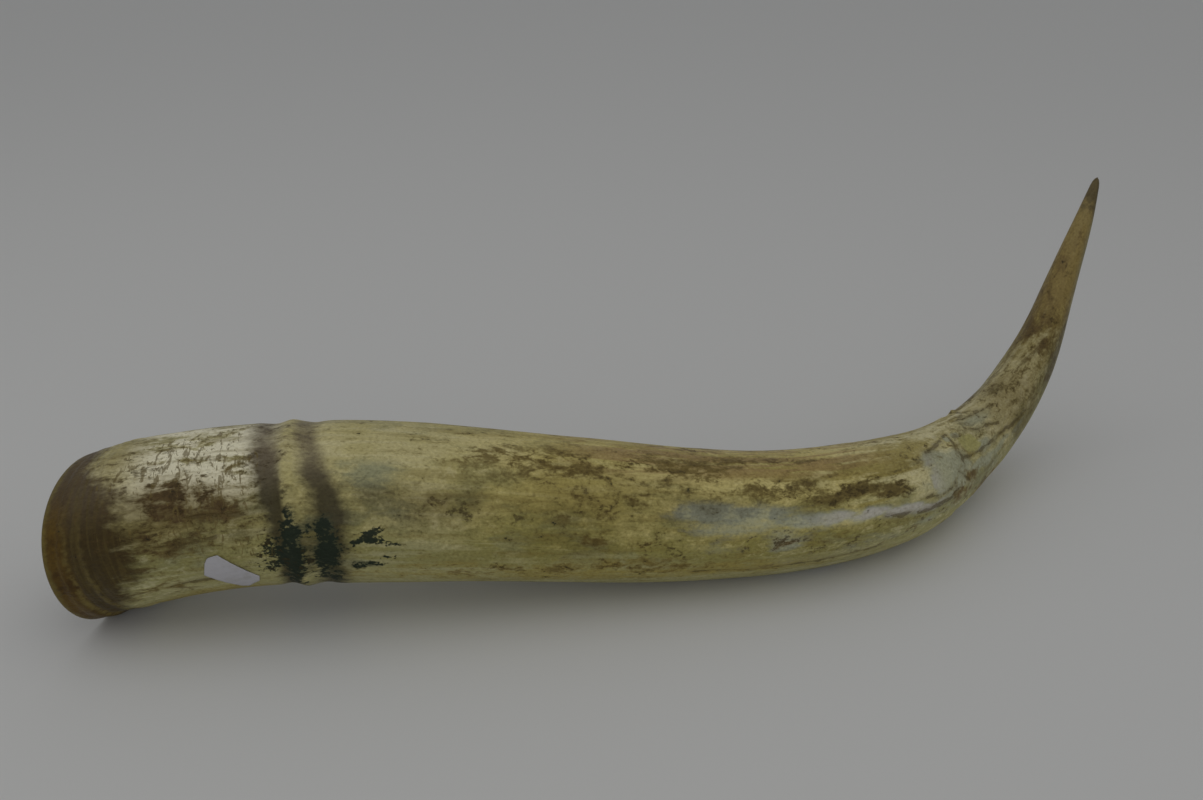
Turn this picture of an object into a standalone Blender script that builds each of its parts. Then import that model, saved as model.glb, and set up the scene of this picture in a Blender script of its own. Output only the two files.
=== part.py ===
# Cow horn: one large curved horn, hollow and open at the base, with a blank paper sticker on its side.
# Metres, Z up. The horn lies on its side as found: X runs from the open base to the tip, Y away from the viewer.
import math
import bpy
import bmesh
import numpy as np

# Axis of the horn, from the rim to the tip: X, Y, Z and the half thickness there, in millimetres.
STATIONS_MM = [
    (-360.5, -35.0, 57.0, 58.2),
    (-319.0, -39.0, 71.0, 59.8),
    (-278.0, -35.0, 77.0, 58.6),
    (-215.0, -28.0, 79.0, 58.0),
    (-145.0, -20.0, 75.0, 57.6),
    (-74.0, -12.0, 67.0, 55.4),
    (-1.0, -4.0, 58.0, 52.5),
    (73.0, 5.0, 50.0, 49.2),
    (150.0, 20.0, 45.5, 46.2),
    (207.0, 44.0, 43.0, 43.0),
    (258.0, 86.0, 37.0, 37.8),
    (307.0, 136.0, 42.0, 30.2),
    (355.5, 187.0, 68.5, 22.8),
    (384.5, 222.0, 104.0, 16.9),
    (402.0, 246.0, 142.0, 12.9),
    (421.0, 269.0, 190.0, 7.8),
    (432.0, 282.0, 225.0, 2.6),
]
RIM_FACES = (-0.960, 0.240, -0.145)    # way the open end looks: left, a little down and away
RIM_BLEND = 0.090                 # the sections turn square to the axis over this distance
SHIFT = (-0.0281, -0.0919, 0.0)   # brings the middle of the overall box to the origin
WIDE = 1.02                       # the section is a little wider than it is tall
TALL = 0.985
FLAT_BAND = 0.0006                # skin lower than this is worn flat where the horn rests

# Walls of the open base end.
CAVITY_MM = [                     # distance from the rim, half width of the hollow
    (0.0, 54.6),
    (12.0, 54.0),
    (60.0, 52.8),
    (160.0, 50.6),
    (280.0, 47.5),
    (400.0, 40.0),
    (490.0, 31.0),
    (560.0, 21.0),
    (610.0, 10.0),
]
CAVITY_END = 0.624

# Growth rings at the base and the pale ring with a dark groove on each side.
LIP_END = 0.0165                  # the rim stands out up to here, most of all underneath
LIP_OUT = 0.0022
BASE_RINGS = (0.0095, 0.0215, 0.0275, 0.0335)
BASE_RING_DEPTH = 0.0007
BASE_RING_LEAN = 0.0030           # the base rings run further from the rim at the top
NECK_AT = 0.042                   # the surface steps in behind the base rings
NECK_STEP = 0.0009
RIDGE_AT = 0.1505
RIDGE_OUT = 0.0015
GROOVES = (-0.0115, 0.0150)       # dark groove on each side of the pale ridge
GROOVE_DEPTH = 0.0012
RING_LEAN = 0.0045                # the ring runs nearer the base at the top

# Layers flaked off round the bend.
FLAKE_AT = 0.680
FLAKE_LEAN = 0.035
FLAKE_DEPTH = 0.0012

AROUND = 44
RING_STEPS_MM = [                 # up to this distance, with this spacing
    (45.0, 3.0),
    (120.0, 12.5),
    (180.0, 5.0),
    (630.0, 25.0),
    (740.0, 8.5),
    (960.0, 18.0),
]
INNER_STEPS_MM = [(12.0, 6.0), (60.0, 24.0), (600.0, 54.0)]

# Blank paper sticker on the near side, low down behind the base.
LABEL_S = 0.104
LABEL_TURN = math.radians(201.5)
LABEL_LONG = 0.0435
LABEL_WIDE = 0.021
LABEL_SLANT = math.radians(46.0)
LABEL_GAP = 0.0003
LABEL_THICK = 0.0004


def spline(knots, values):
    """Natural cubic spline through the values, returned as a function."""
    n = len(knots)
    h = np.diff(knots)
    a = np.eye(n)
    b = np.zeros((n, values.shape[1]))
    for i in range(1, n - 1):
        a[i, i - 1] = h[i - 1]
        a[i, i] = 2.0 * (h[i - 1] + h[i])
        a[i, i + 1] = h[i]
        b[i] = 6.0 * ((values[i + 1] - values[i]) / h[i] - (values[i] - values[i - 1]) / h[i - 1])
    m = np.linalg.solve(a, b)

    def at(x):
        x = np.atleast_1d(x)
        k = np.clip(np.searchsorted(knots, x) - 1, 0, n - 2)
        w = h[k][:, None]
        p = (knots[k + 1] - x)[:, None]
        q = (x - knots[k])[:, None]
        curve = (m[k] * p**3 + m[k + 1] * q**3) / (6.0 * w)
        line = (values[k] / w - m[k] * w / 6.0) * p + (values[k + 1] / w - m[k + 1] * w / 6.0) * q
        return curve + line
    return at


STATIONS = np.array(STATIONS_MM) / 1000.0
CHORD = np.concatenate([[0.0], np.cumsum(np.linalg.norm(np.diff(STATIONS[:, :3], axis=0), axis=1))])
LENGTH = float(CHORD[-1])
AXIS = spline(CHORD, STATIONS)
CAVITY = spline(np.array(CAVITY_MM)[:, 0] / 1000.0, np.array(CAVITY_MM)[:, 1:] / 1000.0)


def frame(s):
    """Centre, side and up directions and half thickness at distance s from the rim."""
    here = AXIS(s)
    step = 0.0005
    ahead = AXIS(np.clip(s + step, 0.0, LENGTH))[:, :3]
    behind = AXIS(np.clip(s - step, 0.0, LENGTH))[:, :3]
    along = ahead - behind
    along = along / np.linalg.norm(along, axis=1)[:, None]
    near_rim = (1.0 - smooth(s, 0.0, RIM_BLEND))[:, None]
    along = along * (1.0 - near_rim) - np.array(RIM_FACES) * near_rim
    along = along / np.linalg.norm(along, axis=1)[:, None]
    side = np.stack([-along[:, 1], along[:, 0], np.zeros(len(along))], axis=1)
    side = side / np.linalg.norm(side, axis=1)[:, None]
    up = np.cross(along, side)
    return here[:, :3], side, up, here[:, 3]


def bump(x, width):
    return np.exp(-(x / width) ** 2)


def smooth(x, low, high):
    t = np.clip((x - low) / (high - low), 0.0, 1.0)
    return t * t * (3.0 - 2.0 * t)


def relief(s, turn):
    """Height of the surface over the plain section, in metres."""
    s, turn = np.broadcast_arrays(s, turn)
    low = 0.5 - 0.5 * np.sin(turn)
    out = LIP_OUT * (1.0 - smooth(s, LIP_END - 0.0015, LIP_END + 0.0015)) * (0.2 + 0.8 * low**3)
    for k, at in enumerate(BASE_RINGS):
        wander = BASE_RING_LEAN * np.sin(turn) * smooth(s, 0.0, 0.015) + 0.0007 * np.sin(3.0 * turn + k)
        out = out - BASE_RING_DEPTH * bump(s - at - wander, 0.0022)
    out = out - NECK_STEP * smooth(s, NECK_AT - 0.004, NECK_AT + 0.004) * (1.0 - smooth(s, 0.06, 0.10))
    ring = s - RIDGE_AT + RING_LEAN * np.sin(turn)
    out = out + RIDGE_OUT * bump(ring, 0.005)
    for at in GROOVES:
        out = out - GROOVE_DEPTH * bump(ring - at, 0.0065)
    edge = FLAKE_AT + FLAKE_LEAN * np.cos(turn - 0.45) + 0.004 * np.sin(5.0 * turn)
    out = out - FLAKE_DEPTH * smooth(s, edge - 0.003, edge + 0.003) * (1.0 - smooth(s, edge + 0.05, edge + 0.09))
    taper = 1.0 - smooth(s, 0.80, LENGTH)
    wave = 0.0005 * np.sin(5.0 * turn + 9.0 * s) * smooth(s, 0.18, 0.30)
    wave = wave + 0.0004 * np.sin(3.0 * turn - 14.0 * s + 1.0) + 0.0004 * np.sin(31.0 * s + 2.0 * turn)
    return out + wave * taper


def skin(s, turn, lift=0.0):
    """Points on the outside of the horn, for arrays of distance and turn of the same length."""
    centre, side, up, half = frame(s)
    r = half + relief(s, turn) + lift
    across = (WIDE * r * np.cos(turn))[:, None] * side
    upward = (TALL * r * np.sin(turn))[:, None] * up
    return centre + across + upward + np.array(SHIFT)


def rings(steps):
    at = [0.0]
    for end, gap in steps:
        start = at[-1]
        count = max(1, round((end / 1000.0 - start) / (gap / 1000.0)))
        for i in range(1, count + 1):
            at.append(start + (end / 1000.0 - start) * i / count)
    return at


def new_collection(name, hidden=False):
    made = bpy.data.collections.new(name)
    bpy.context.scene.collection.children.link(made)
    made.hide_render = hidden
    return made


def material(name, colour, roughness, metallic=0.0):
    made = bpy.data.materials.new(name)
    made.use_nodes = True
    shader = made.node_tree.nodes["Principled BSDF"]
    shader.inputs["Base Color"].default_value = (*colour, 1.0)
    shader.inputs["Roughness"].default_value = roughness
    shader.inputs["Metallic"].default_value = metallic
    made.diffuse_color = (*colour, 1.0)
    return made


def add_object(name, mesh_data, made_of, where):
    mesh = bpy.data.meshes.new(name)
    mesh_data.to_mesh(mesh)
    mesh_data.free()
    thing = bpy.data.objects.new(name, mesh)
    thing.data.materials.append(made_of)
    where.objects.link(thing)
    for face in mesh.polygons:
        face.use_smooth = True
    return thing


def build_horn(where):
    bm = bmesh.new()
    turns = np.arange(AROUND) * (2.0 * math.pi / AROUND)

    # Outside, ring by ring. Skin that touches the ground is worn to a small flat.
    outer = []
    for s in rings(RING_STEPS_MM):
        points = skin(np.full(AROUND, s), turns)
        points[:, 2] = np.where(points[:, 2] < FLAT_BAND, 0.0, points[:, 2])
        if s == 0.0:
            rim_centre, rim_side, rim_up, _ = frame(np.array([0.0]))
            points = flatten_to_rim(points, rim_centre[0], rim_side[0], rim_up[0])
        outer.append([bm.verts.new(p) for p in points])

    # Rounded point at the tip.
    for s, part in ((0.986 * LENGTH, 1.0), (0.996 * LENGTH, 0.80)):
        centre, side, up, half = frame(np.array([s]))
        r = half[0] * part
        ring = []
        for t in turns[::2]:
            p = centre[0] + r * math.cos(t) * side[0] + r * math.sin(t) * up[0] + np.array(SHIFT)
            ring.append(bm.verts.new(p))
        outer.append(ring)
    centre, side, up, half = frame(np.array([LENGTH]))
    tip = bm.verts.new(centre[0] + np.array(SHIFT))

    # Hollow, from the rim inwards.
    inner = []
    for s in rings(INNER_STEPS_MM):
        centre, side, up, _ = frame(np.array([s]))
        r = CAVITY(np.array([s]))[0, 0]
        ring = []
        for t in turns:
            p = centre[0] + WIDE * r * math.cos(t) * side[0] + TALL * r * math.sin(t) * up[0]
            ring.append(bm.verts.new(p + np.array(SHIFT)))
        inner.append(ring)
    centre, _, _, _ = frame(np.array([CAVITY_END]))
    end = bm.verts.new(centre[0] + np.array(SHIFT))

    for a, b in zip(outer, outer[1:]):
        join(bm, a, b)
    for i, v in enumerate(outer[-1]):
        bm.faces.new((v, outer[-1][(i + 1) % len(outer[-1])], tip))
    join(bm, inner[0], outer[0])
    for a, b in zip(inner, inner[1:]):
        join(bm, b, a)
    for i, v in enumerate(inner[-1]):
        bm.faces.new((inner[-1][(i + 1) % AROUND], v, end))
    bmesh.ops.recalc_face_normals(bm, faces=bm.faces)
    return add_object("horn", bm, material("horn_keratin", (0.48, 0.41, 0.20), 0.42), where)


def flatten_to_rim(points, centre, side, up):
    """Keeps the rim ring in its own plane after the ground has taken its share."""
    away = np.cross(side, up)
    off = (points - centre - np.array(SHIFT)) @ away
    points[:, 0] -= off / away[0]
    return points


def join(bm, a, b):
    """Band of faces between two rings, the second with as many points or half as many."""
    n = len(a)
    if len(b) == n:
        for i in range(n):
            j = (i + 1) % n
            bm.faces.new((a[i], a[j], b[j], b[i]))
        return
    for i in range(0, n, 2):
        p = b[i // 2]
        q = b[(i // 2 + 1) % len(b)]
        bm.faces.new((a[i], a[i + 1], p))
        bm.faces.new((a[i + 1], a[(i + 2) % n], q))
        bm.faces.new((a[i + 1], q, p))


def label_outline():
    """Corners of the sticker in its own plane: a strip with its corners cut off unevenly."""
    x = LABEL_LONG / 2.0
    y = LABEL_WIDE / 2.0
    left = [(-x, -0.45 * y), (-x + 0.004, -y)]
    right = [(x - 0.004, -y), (x, -0.5 * y), (x, 0.7 * y), (x - 0.003, y)]
    return left + right + [(-x + 0.007, y), (-x + 0.001, 0.05 * y)]


def build_label(where):
    bm = bmesh.new()
    corners = [bm.verts.new((x, y, 0.0)) for x, y in label_outline()]
    bm.faces.new(corners)
    for k in range(1, 14):
        cut = -LABEL_LONG / 2.0 + LABEL_LONG * k / 14.0
        everything = bm.verts[:] + bm.edges[:] + bm.faces[:]
        bmesh.ops.bisect_plane(bm, geom=everything, plane_co=(cut, 0.0, 0.0), plane_no=(1.0, 0.0, 0.0))
    for k in range(1, 9):
        cut = -LABEL_WIDE / 2.0 + LABEL_WIDE * k / 9.0
        everything = bm.verts[:] + bm.edges[:] + bm.faces[:]
        bmesh.ops.bisect_plane(bm, geom=everything, plane_co=(0.0, cut, 0.0), plane_no=(0.0, 1.0, 0.0))
    bmesh.ops.triangulate(bm, faces=bm.faces)
    flat = np.array([v.co for v in bm.verts])
    faces = [[v.index for v in f.verts] for f in bm.faces]
    rim = [[v.index for v in e.verts] for e in bm.edges if len(e.link_faces) == 1]
    bm.verts.index_update()
    bm.free()

    # Wrap the flat strip onto the horn.
    cos = math.cos(LABEL_SLANT)
    sin = math.sin(LABEL_SLANT)
    along = flat[:, 0] * cos - flat[:, 1] * sin
    across = flat[:, 0] * sin + flat[:, 1] * cos
    s = LABEL_S + along
    turn = LABEL_TURN + across / 0.0585
    low = skin(s, turn, LABEL_GAP)
    high = skin(s, turn, LABEL_GAP + LABEL_THICK)

    made = bmesh.new()
    under = [made.verts.new(p) for p in low]
    over = [made.verts.new(p) for p in high]
    for f in faces:
        made.faces.new([over[i] for i in f])
        made.faces.new([under[i] for i in reversed(f)])
    for i, j in rim:
        made.faces.new((under[i], under[j], over[j], over[i]))
    bmesh.ops.recalc_face_normals(made, faces=made.faces)
    return add_object("paper_label", made, material("label_paper", (0.62, 0.62, 0.64), 0.75), where)


def main():
    for thing in list(bpy.data.objects):
        bpy.data.objects.remove(thing, do_unlink=True)
    parts = new_collection("cow_horn")
    build_horn(parts)
    build_label(parts)


main()
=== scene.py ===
# The look of the cow horn: its fine skin, its colours and stains, the blank sticker,
# and the floor, light and camera.
import math
import bpy
import numpy as np
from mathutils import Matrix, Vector, noise


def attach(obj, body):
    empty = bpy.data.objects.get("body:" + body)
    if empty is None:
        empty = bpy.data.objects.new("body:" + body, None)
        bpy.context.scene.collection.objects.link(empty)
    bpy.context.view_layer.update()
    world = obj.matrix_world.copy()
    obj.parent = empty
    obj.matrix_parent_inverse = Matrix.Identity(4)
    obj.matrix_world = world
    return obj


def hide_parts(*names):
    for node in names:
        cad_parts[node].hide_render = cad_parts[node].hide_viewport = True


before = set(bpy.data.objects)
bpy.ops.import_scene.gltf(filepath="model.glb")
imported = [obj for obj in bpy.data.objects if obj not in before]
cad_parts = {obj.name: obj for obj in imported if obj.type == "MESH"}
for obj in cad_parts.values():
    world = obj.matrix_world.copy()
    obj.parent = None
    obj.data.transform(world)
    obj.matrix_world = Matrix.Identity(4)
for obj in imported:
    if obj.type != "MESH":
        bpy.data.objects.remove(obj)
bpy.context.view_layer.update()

# Axis of the horn, from the rim to the tip: X, Y, Z and the half thickness there, in millimetres.
STATIONS_MM = [
    (-360.5, -35.0, 57.0, 58.2),
    (-319.0, -39.0, 71.0, 59.8),
    (-278.0, -35.0, 77.0, 58.6),
    (-215.0, -28.0, 79.0, 58.0),
    (-145.0, -20.0, 75.0, 57.6),
    (-74.0, -12.0, 67.0, 55.4),
    (-1.0, -4.0, 58.0, 52.5),
    (73.0, 5.0, 50.0, 49.2),
    (150.0, 20.0, 45.5, 46.2),
    (207.0, 44.0, 43.0, 43.0),
    (258.0, 86.0, 37.0, 37.8),
    (307.0, 136.0, 42.0, 30.2),
    (355.5, 187.0, 68.5, 22.8),
    (384.5, 222.0, 104.0, 16.9),
    (402.0, 246.0, 142.0, 12.9),
    (421.0, 269.0, 190.0, 7.8),
    (432.0, 282.0, 225.0, 2.6),
]
RIM_FACES = (-0.960, 0.240, -0.145)  # way the open end looks
RIM_BLEND = 0.090  # the sections turn square to the axis over this distance
SHIFT = np.array((-0.0281, -0.0919, 0.0))  # brings the middle of its box to the origin
WIDE = 1.02  # the sections are slightly wider than tall
TALL = 0.985

CAVITY_MM = [  # distance from the rim, half width of the hollow
    (0.0, 54.6), (12.0, 54.0), (60.0, 52.8),
    (160.0, 50.6), (280.0, 47.5), (400.0, 40.0),
    (490.0, 31.0), (560.0, 21.0), (610.0, 10.0),
]
CAVITY_END = 0.624
CAVITY_ROUGHNESS = 0.0006
RIM_ROUND = (0.0018, 0.0006)  # outer edge of the rim: how far along, how deep
RIM_ROUND_INSIDE = (0.002, 0.0008)
POINT_ROUND = 0.008  # the point rounds off over this distance

# Growth rings at the base and the pale ring with a dark groove on each side.
LIP_END = 0.0165
LIP_OUT = 0.0022
BASE_RINGS = (0.0095, 0.0215, 0.0275, 0.0335)
BASE_RING_DEPTH = 0.0007
BASE_RING_LEAN = 0.0030
NECK_AT = 0.042
NECK_STEP = 0.0009
RIDGE_AT = 0.1505
RIDGE_OUT = 0.0015
GROOVES = (-0.0115, 0.0150)
GROOVE_DEPTH = 0.0012
RING_LEAN = 0.0045
FLAKE_AT = 0.680
FLAKE_LEAN = 0.035
FLAKE_DEPTH = 0.0012

# Sticker: its middle, its size and how it lies on the skin.
LABEL_S = 0.104
LABEL_TURN = math.radians(201.5)
LABEL_LONG = 0.0435
LABEL_WIDE = 0.021
LABEL_SLANT = math.radians(46.0)
LABEL_LIFT = 0.0004
LABEL_THICK = 0.0003
LABEL_STEPS = (44, 22)
LABEL_RADIUS = 0.0585  # of the skin under it
LABEL_CURL = 0.00035
LABEL_PUFF = 0.00006

# Fine mesh: number of points around, and spacing of the rings up to each distance.
AROUND = 188
FINE_STEPS_MM = [
    (3.0, 0.6), (60.0, 1.5), (120.0, 3.0), (190.0, 1.8),
    (600.0, 3.2), (800.0, 1.45), (992.0, 3.0),
]
INNER_STEPS_MM = [(3.0, 1.0), (60.0, 6.0), (600.0, 18.0)]

# Small relief of the skin: heights in metres, turns in degrees.
LINE_HEIGHT = 0.00016
LUMP_HEIGHT = 0.00030
TERRACE_HEIGHT = 0.00030
PIT_HEIGHT = 0.00011
CRACK_DEPTH = 0.00060
CRACK_WIDTH_MM = 1.1
CHALK_HEIGHT = 0.00025
END_RING_HEIGHT = 0.00014
END_RINGS_PER_MM = 1.5  # in radians
SLIVER_AT = 0.7215
SLIVER_LONG = 0.0030
SLIVER_TURN = 47.0
SLIVER_WIDE = 6.0
SLIVER_HEIGHT = 0.0022
NOISE_ROUGHNESS = 0.55
NOISE_STEP = 2.0

# How far the noise moves the edges of the marks.
WANDER_ALONG = 0.009
WANDER_FINE = 0.0012
WANDER_ROUND = 7.0  # degrees
CRACK_WANDER_ALONG = 0.0022
CRACK_WANDER_ROUND = 1.6
THICK_PART = 0.05  # marks wander further round where the half thickness is less

# Places on the flat map of the bake: where skin and hollow start, and how long they are.
MAP_SKIN = (0.02, 0.70)
MAP_RIM = 0.012
MAP_TIP = 0.725
MAP_HOLLOW = (0.76, 0.22)
MAP_DEEP = 0.985

# Floor and light. Each lamp: name, place, where it points, size, watts, colour.
FLOOR_HALF = 6.0
FLOOR_Z = -0.0003
FLOOR_GREY = (0.70, 0.70, 0.69, 1.0)
SKY_COLOUR = (0.98, 0.99, 1.0, 1.0)
SKY_STRENGTH = 0.315
LAMPS = [
    ("top", (-0.15, -0.35, 1.7), (0.0, -0.1, 0.0), 2.2, 3.4, (1.0, 0.995, 0.98)),
    ("left", (-1.4, -0.1, 1.2), (-0.1, -0.1, 0.0), 1.2, 0.7, (1.0, 0.99, 0.98)),
    ("front", (0.0, -2.4, 0.95), (0.0, -0.1, 0.0), 1.6, 4.6, (1.0, 1.0, 0.97)),
]

# Camera, fitted to the picture.
PICTURE_WIDTH = 1203
FOCAL_PIXELS = 1350.0
CAMERA_DOWN = math.radians(26.0)
CAMERA_AT = (-0.0281, -0.9519, 0.566)
SENSOR_MM = 36.0


# Shape of the horn, the same as the solid's.

def spline(knots, values):
    """Natural cubic spline through the values, returned as a function."""
    n = len(knots)
    h = np.diff(knots)
    a = np.eye(n)
    b = np.zeros((n, values.shape[1]))
    for i in range(1, n - 1):
        a[i, i - 1] = h[i - 1]
        a[i, i] = 2.0 * (h[i - 1] + h[i])
        a[i, i + 1] = h[i]
        b[i] = 6.0 * ((values[i + 1] - values[i]) / h[i] - (values[i] - values[i - 1]) / h[i - 1])
    m = np.linalg.solve(a, b)

    def at(x):
        x = np.atleast_1d(x)
        k = np.clip(np.searchsorted(knots, x) - 1, 0, n - 2)
        w = h[k][:, None]
        p = (knots[k + 1] - x)[:, None]
        q = (x - knots[k])[:, None]
        curve = (m[k] * p**3 + m[k + 1] * q**3) / (6.0 * w)
        line = (values[k] / w - m[k] * w / 6.0) * p + (values[k + 1] / w - m[k + 1] * w / 6.0) * q
        return curve + line
    return at


STATIONS = np.array(STATIONS_MM) / 1000.0
CHORD = np.concatenate([[0.0], np.cumsum(np.linalg.norm(np.diff(STATIONS[:, :3], axis=0), axis=1))])
LENGTH = float(CHORD[-1])
AXIS = spline(CHORD, STATIONS)
CAVITY = spline(np.array(CAVITY_MM)[:, 0] / 1000.0, np.array(CAVITY_MM)[:, 1:] / 1000.0)


def bump(x, width):
    """Bell curve, 1 at x = 0."""
    return np.exp(-(x / width) ** 2)


def smooth(x, low, high):
    """Soft step from 0 at low to 1 at high."""
    t = np.clip((x - low) / (high - low), 0.0, 1.0)
    return t * t * (3.0 - 2.0 * t)


def section(s):
    """Centre, side and up directions and half thickness at distance s from the rim."""
    here = AXIS(s)
    step = 0.0005
    ahead = AXIS(np.clip(s + step, 0.0, LENGTH))[:, :3]
    behind = AXIS(np.clip(s - step, 0.0, LENGTH))[:, :3]
    along = ahead - behind
    along = along / np.linalg.norm(along, axis=1)[:, None]
    near_rim = (1.0 - smooth(s, 0.0, RIM_BLEND))[:, None]
    along = along * (1.0 - near_rim) - np.array(RIM_FACES) * near_rim
    along = along / np.linalg.norm(along, axis=1)[:, None]
    side = np.stack([-along[:, 1], along[:, 0], np.zeros(len(along))], axis=1)
    side = side / np.linalg.norm(side, axis=1)[:, None]
    up = np.cross(along, side)
    return here[:, :3], side, up, here[:, 3]


def relief(s, turn):
    """Height of the solid's surface over the plain section, in metres."""
    low = 0.5 - 0.5 * np.sin(turn)
    out = LIP_OUT * (1.0 - smooth(s, LIP_END - 0.0015, LIP_END + 0.0015)) * (0.2 + 0.8 * low**3)
    for k, at in enumerate(BASE_RINGS):
        wander = BASE_RING_LEAN * np.sin(turn) * smooth(s, 0.0, 0.015) + 0.0007 * np.sin(3.0 * turn + k)
        out = out - BASE_RING_DEPTH * bump(s - at - wander, 0.0022)
    out = out - NECK_STEP * smooth(s, NECK_AT - 0.004, NECK_AT + 0.004) * (1.0 - smooth(s, 0.06, 0.10))
    ring = s - RIDGE_AT + RING_LEAN * np.sin(turn)
    out = out + RIDGE_OUT * bump(ring, 0.005)
    for at in GROOVES:
        out = out - GROOVE_DEPTH * bump(ring - at, 0.0065)
    edge = FLAKE_AT + FLAKE_LEAN * np.cos(turn - 0.45) + 0.004 * np.sin(5.0 * turn)
    layer = FLAKE_DEPTH * smooth(s, edge - 0.003, edge + 0.003)
    out = out - layer * (1.0 - smooth(s, edge + 0.05, edge + 0.09))
    taper = 1.0 - smooth(s, 0.80, LENGTH)
    wave = 0.0005 * np.sin(5.0 * turn + 9.0 * s) * smooth(s, 0.18, 0.30)
    wave = wave + 0.0004 * np.sin(3.0 * turn - 14.0 * s + 1.0) + 0.0004 * np.sin(31.0 * s + 2.0 * turn)
    return out + wave * taper


# Where the marks are: distance from the rim in mm, turn in degrees, half length in mm,
# half width in degrees, strength. Turn 90 is the top of the horn, 180 the side towards the viewer,
# 270 underneath.
GREEN_STAINS = [
    (149, 172, 6, 9, 1.0), (146, 186, 9, 12, 0.95), (152, 194, 4, 18, 1.0), (136, 182, 8, 7, 0.62),
    (134, 196, 8, 9, 0.55), (149, 216, 6, 14, 0.75), (149, 160, 5, 7, 0.6), (171, 170, 6, 9, 0.9),
    (173, 186, 6.5, 12, 1.15), (176, 178, 4, 8, 0.6), (168, 206, 5, 12, 0.8), (176, 212, 5, 12, 0.7),
    (176, 262, 9, 20, 0.7), (143, 258, 9, 20, 0.7), (201, 171, 4.5, 3.2, 1.05), (202, 176, 8, 2.6, 1.0),
    (193, 177, 4, 2.2, 0.9), (213, 179, 5, 2.0, 0.85), (205, 184, 3, 2.0, 0.55), (201, 196, 9, 2.2, 0.75),
    (193, 200, 4, 1.6, 0.6), (209, 190, 6, 1.5, 0.6), (160, 196, 2.0, 16, 0.45), (160, 168, 2, 8, 0.5),
]
BROWN_STAINS = [
    (72, 148, 12, 8, 1.25), (86, 146, 16, 8, 0.85),
    (75, 140, 17, 10, 0.95), (99, 150, 14, 9, 0.85), (112, 158, 10, 7, 0.80), (66, 165, 14, 13, 0.80),
    (88, 166, 20, 9, 0.45), (58, 205, 14, 10, 0.50), (50, 120, 10, 14, 0.70), (95, 128, 22, 5, 0.55),
    (118, 140, 10, 8, 0.45), (300, 112, 34, 7, 0.65), (332, 118, 28, 10, 0.85), (372, 112, 30, 9, 0.80),
    (420, 106, 38, 9, 0.78), (464, 98, 36, 9, 0.80), (348, 134, 13, 11, 0.95),
    (362, 150, 12, 6, 0.70), (384, 140, 14, 6, 0.60), (322, 128, 12, 9, 0.60),
    (420, 72, 60, 14, 0.62), (480, 62, 60, 16, 0.66), (540, 70, 50, 12, 0.50), (358, 172, 13, 4.5, 0.85),
    (394, 176, 15, 4.5, 0.80), (376, 168, 18, 7, 0.48), (330, 158, 10, 4, 0.55), (232, 150, 14, 8, 0.30),
    (246, 145, 8, 4, 0.55), (305, 197, 14, 4, 0.62), (361, 199, 30, 4.5, 0.70), (425, 197, 24, 6, 0.72),
    (256, 203, 22, 4, 0.45), (503, 207, 40, 3.5, 0.50), (560, 208, 30, 3.5, 0.45), (540, 138, 24, 5.5, 1.05),
    (660, 163, 7, 6, 1.1), (575, 143, 15, 5.5, 1.0), (503, 132, 24, 5, 0.75),
    (472, 128, 28, 5, 0.55), (486, 178, 12, 6, 0.60),
    (470, 172, 8, 4, 0.55), (520, 182, 14, 4, 0.50), (590, 196, 24, 5, 0.50), (640, 178, 10, 7, 0.85),
    (652, 118, 12, 8, 0.40), (700, 205, 40, 9, 0.75), (760, 205, 30, 10, 0.55), (742, 110, 22, 10, 0.45),
    (790, 112, 22, 22, 0.36), (826, 100, 16, 30, 0.46), (806, 160, 20, 20, 0.35), (846, 80, 14, 26, 0.55),
    (770, 140, 18, 12, 0.28), (730, 60, 40, 16, 0.55), (640, 60, 30, 16, 0.45), (600, 72, 30, 12, 0.45),
    (300, 40, 40, 14, 0.50), (560, 330, 36, 16, 0.55), (380, 345, 40, 14, 0.50), (240, 20, 30, 14, 0.45),
    (640, 20, 26, 16, 0.50), (455, 10, 50, 14, 0.50), (330, 285, 50, 14, 0.45), (450, 300, 50, 14, 0.45),
    (780, 330, 30, 40, 0.50), (90, 30, 26, 22, 0.55), (80, 330, 26, 22, 0.55), (95, 280, 20, 16, 0.50),
]
WHITE_PATCHES = [
    (470, 157, 20, 6, 0.85), (488, 168, 16, 6, 0.60),
    (438, 148, 24, 7, 0.85), (463, 150, 24, 7, 0.95), (455, 162, 28, 8, 0.68), (487, 179, 15, 8, 0.62),
    (438, 178, 22, 6, 0.45), (503, 159, 18, 5, 0.95), (526, 160, 16, 5, 1.0), (549, 162, 18, 4.6, 1.1),
    (578, 167, 18, 4.6, 1.1), (604, 171, 16, 4.4, 1.05), (626, 169, 14, 4.4, 0.95), (642, 165, 10, 4, 0.9),
    (620, 146, 9, 16, 1.0), (622, 122, 9, 9, 0.8), (634, 134, 14, 12, 1.0), (640, 144, 16, 14, 1.05),
    (644, 160, 11, 9, 0.90), (672, 158, 10, 6, 0.95), (692, 160, 12, 5, 0.85), (716, 162, 13, 4.5, 0.80),
    (742, 167, 13, 4.5, 0.70), (663, 107, 4, 4, 1.1), (715, 104, 20, 14, 0.62), (600, 190, 28, 11, 0.44),
    (560, 194, 28, 11, 0.40), (520, 250, 34, 16, 0.55), (600, 270, 30, 18, 0.60), (680, 235, 26, 16, 0.60),
    (508, 200, 30, 9, 0.40), (698, 143, 13, 6, 0.95), (604, 150, 12, 6, 0.55),
    (220, 158, 16, 14, 0.42), (203, 128, 18, 11, 0.70), (330, 300, 40, 14, 0.40),
]
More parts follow.
